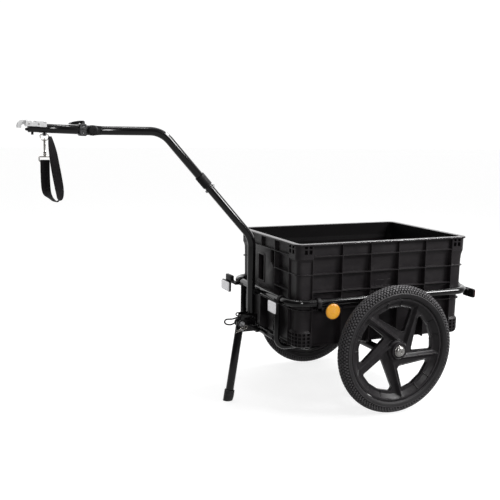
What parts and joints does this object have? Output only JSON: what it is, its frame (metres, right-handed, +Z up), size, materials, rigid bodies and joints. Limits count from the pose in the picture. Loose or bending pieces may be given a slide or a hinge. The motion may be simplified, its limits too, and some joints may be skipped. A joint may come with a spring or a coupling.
{
  "type": "cargo bike trailer",
  "caption": "Cargo bike trailer with a plastic crate in a tube cradle, moulded wheels, a fold-up stand leg and a high drawbar with a folding hook hitch and safety strap.",
  "frame": {"origin": "on the floor, midway along the length and on the centre plane between the wheels", "axes": "+X rearwards, -X along the drawbar to the hitch, +Y to the trailer's right side seen from above with the drawbar pointing away, +Z up"},
  "size_m": [1.391, 0.6218, 0.8593],
  "materials": {
    "frame_paint": "satin black powder coat on steel tube",
    "crate_plastic": "moulded black polypropylene, satin",
    "wheel_plastic": "moulded black nylon, fine grain",
    "tyre_rubber": "matt black tyre rubber",
    "soft_rubber": "matt black rubber",
    "black_plastic": "moulded black plastic",
    "grey_casting": "dark grey coated casting",
    "zinc_plate": "bright zinc plate",
    "bright_wire": "nickel-bright steel wire",
    "webbing": "woven black polyester webbing, 25 mm",
    "clear_lens": "clear prismatic reflector lens",
    "amber_lens": "amber prismatic reflector lens",
    "red_lens": "red prismatic reflector lens"
  },
  "bodies": {
    "frame": {"upper_rail": "frame_paint", "cradle_tube_left": "frame_paint", "cradle_tube_right": "frame_paint", "front_crossbar": "frame_paint", "axle_beam": "frame_paint", "axle_plate_left": "frame_paint", "axle_plate_right": "frame_paint", "left_axle_bolt": "zinc_plate", "right_axle_bolt": "zinc_plate", "drawbar_bracket": "frame_paint", "bracket_bolt": "frame_paint", "rail_saddle": "frame_paint", "stand_pivot_bolt": "zinc_plate", "stand_pivot_nut": "zinc_plate", "pull_ring": "frame_paint", "lower_drawbar": "frame_paint", "drawbar_collar": "black_plastic", "collar_bolt": "zinc_plate", "upper_drawbar": "frame_paint", "hinge_fork": "grey_casting", "hinge_bolt": "black_plastic", "hinge_nut": "zinc_plate", "front_reflector_lens_left": "clear_lens", "front_reflector_lens_right": "clear_lens", "front_reflector_bracket_left": "black_plastic", "front_reflector_bracket_right": "black_plastic", "rear_reflector_lens_left": "red_lens", "rear_reflector_lens_right": "red_lens", "rear_reflector_bracket_left": "black_plastic", "rear_reflector_bracket_right": "black_plastic", "side_reflector_housing_left": "black_plastic", "side_reflector_housing_right": "black_plastic", "side_reflector_lens_left": "amber_lens", "side_reflector_lens_right": "amber_lens"},
    "crate": {"crate_box": "crate_plastic"},
    "left_wheel_unit": {"left_tyre": "tyre_rubber", "left_wheel": "wheel_plastic", "left_bearing_outer": "zinc_plate", "left_bearing_inner": "zinc_plate", "left_valve": "soft_rubber"},
    "right_wheel_unit": {"right_tyre": "tyre_rubber", "right_wheel": "wheel_plastic", "right_bearing_outer": "zinc_plate", "right_bearing_inner": "zinc_plate", "right_valve": "soft_rubber"},
    "stand": {"stand_leg": "frame_paint", "stand_foot": "soft_rubber", "lock_pin": "zinc_plate"},
    "clip": {"lock_clip": "bright_wire"},
    "hitch_arm": {"hinge_tongue": "grey_casting", "hitch_tube": "frame_paint", "hitch_head": "zinc_plate", "strap_lug": "frame_paint"},
    "lever": {"lock_lever": "frame_paint"},
    "plunger": {"latch_plunger": "black_plastic"},
    "strap_hook": {"d_ring": "zinc_plate", "snap_hook": "bright_wire"},
    "gate": {"snap_gate": "bright_wire"},
    "strap": {"swivel_eye": "bright_wire", "strap_webbing": "webbing"}
  },
  "joints": [
    {"name": "left_wheel_spin", "type": "hinge", "parent": "frame", "child": "left_wheel_unit", "pos_m": [0.34947, -0.2774, 0.196], "axis": [0, 1, 0], "continuous": true},
    {"name": "right_wheel_spin", "type": "hinge", "parent": "frame", "child": "right_wheel_unit", "pos_m": [0.34947, 0.2774, 0.196], "axis": [0, 1, 0], "continuous": true},
    {"name": "crate_lift", "type": "slide", "parent": "frame", "child": "crate", "axis": [0, 0, 1], "range_m": [0, 0.35]},
    {"name": "stand_fold", "type": "hinge", "parent": "frame", "child": "stand", "pos_m": [-0.04013, 0, 0.245], "axis": [0, 1, 0], "range_deg": [0, 147]},
    {"name": "lock_clip_pull", "type": "slide", "parent": "stand", "child": "clip", "axis": [0.9582, 0, 0.286], "range_m": [0, 0.03]},
    {"name": "hitch_arm_fold", "type": "hinge", "parent": "frame", "child": "hitch_arm", "pos_m": [-0.49353, 0, 0.833], "axis": [0, -1, 0], "range_deg": [0, 90]},
    {"name": "lock_lever_open", "type": "hinge", "parent": "hitch_arm", "child": "lever", "pos_m": [-0.51785, 0, 0.85498], "axis": [0, 1, 0], "range_deg": [0, 100]},
    {"name": "latch_slide", "type": "slide", "parent": "hitch_arm", "child": "plunger", "axis": [0.9995, 0, -0.0314], "range_m": [0, 0.009], "stiffness_N_per_m": 400, "springref_m": -0.005},
    {"name": "strap_swing", "type": "hinge", "parent": "hitch_arm", "child": "strap_hook", "pos_m": [-0.62301, 0, 0.81966], "axis": [1, 0, 0], "range_deg": [-30, 30]},
    {"name": "snap_gate_open", "type": "hinge", "parent": "strap_hook", "child": "gate", "pos_m": [-0.62301, -0.0005, 0.77756], "axis": [-1, 0, 0], "range_deg": [0, 18], "stiffness_Nm_per_rad": 0.02, "springref_deg": -17.19},
    {"name": "swivel_turn", "type": "hinge", "parent": "strap_hook", "child": "strap", "pos_m": [-0.62301, 0, 0.766], "axis": [0, 0, 1], "range_deg": [-10, 10]}
  ]
}
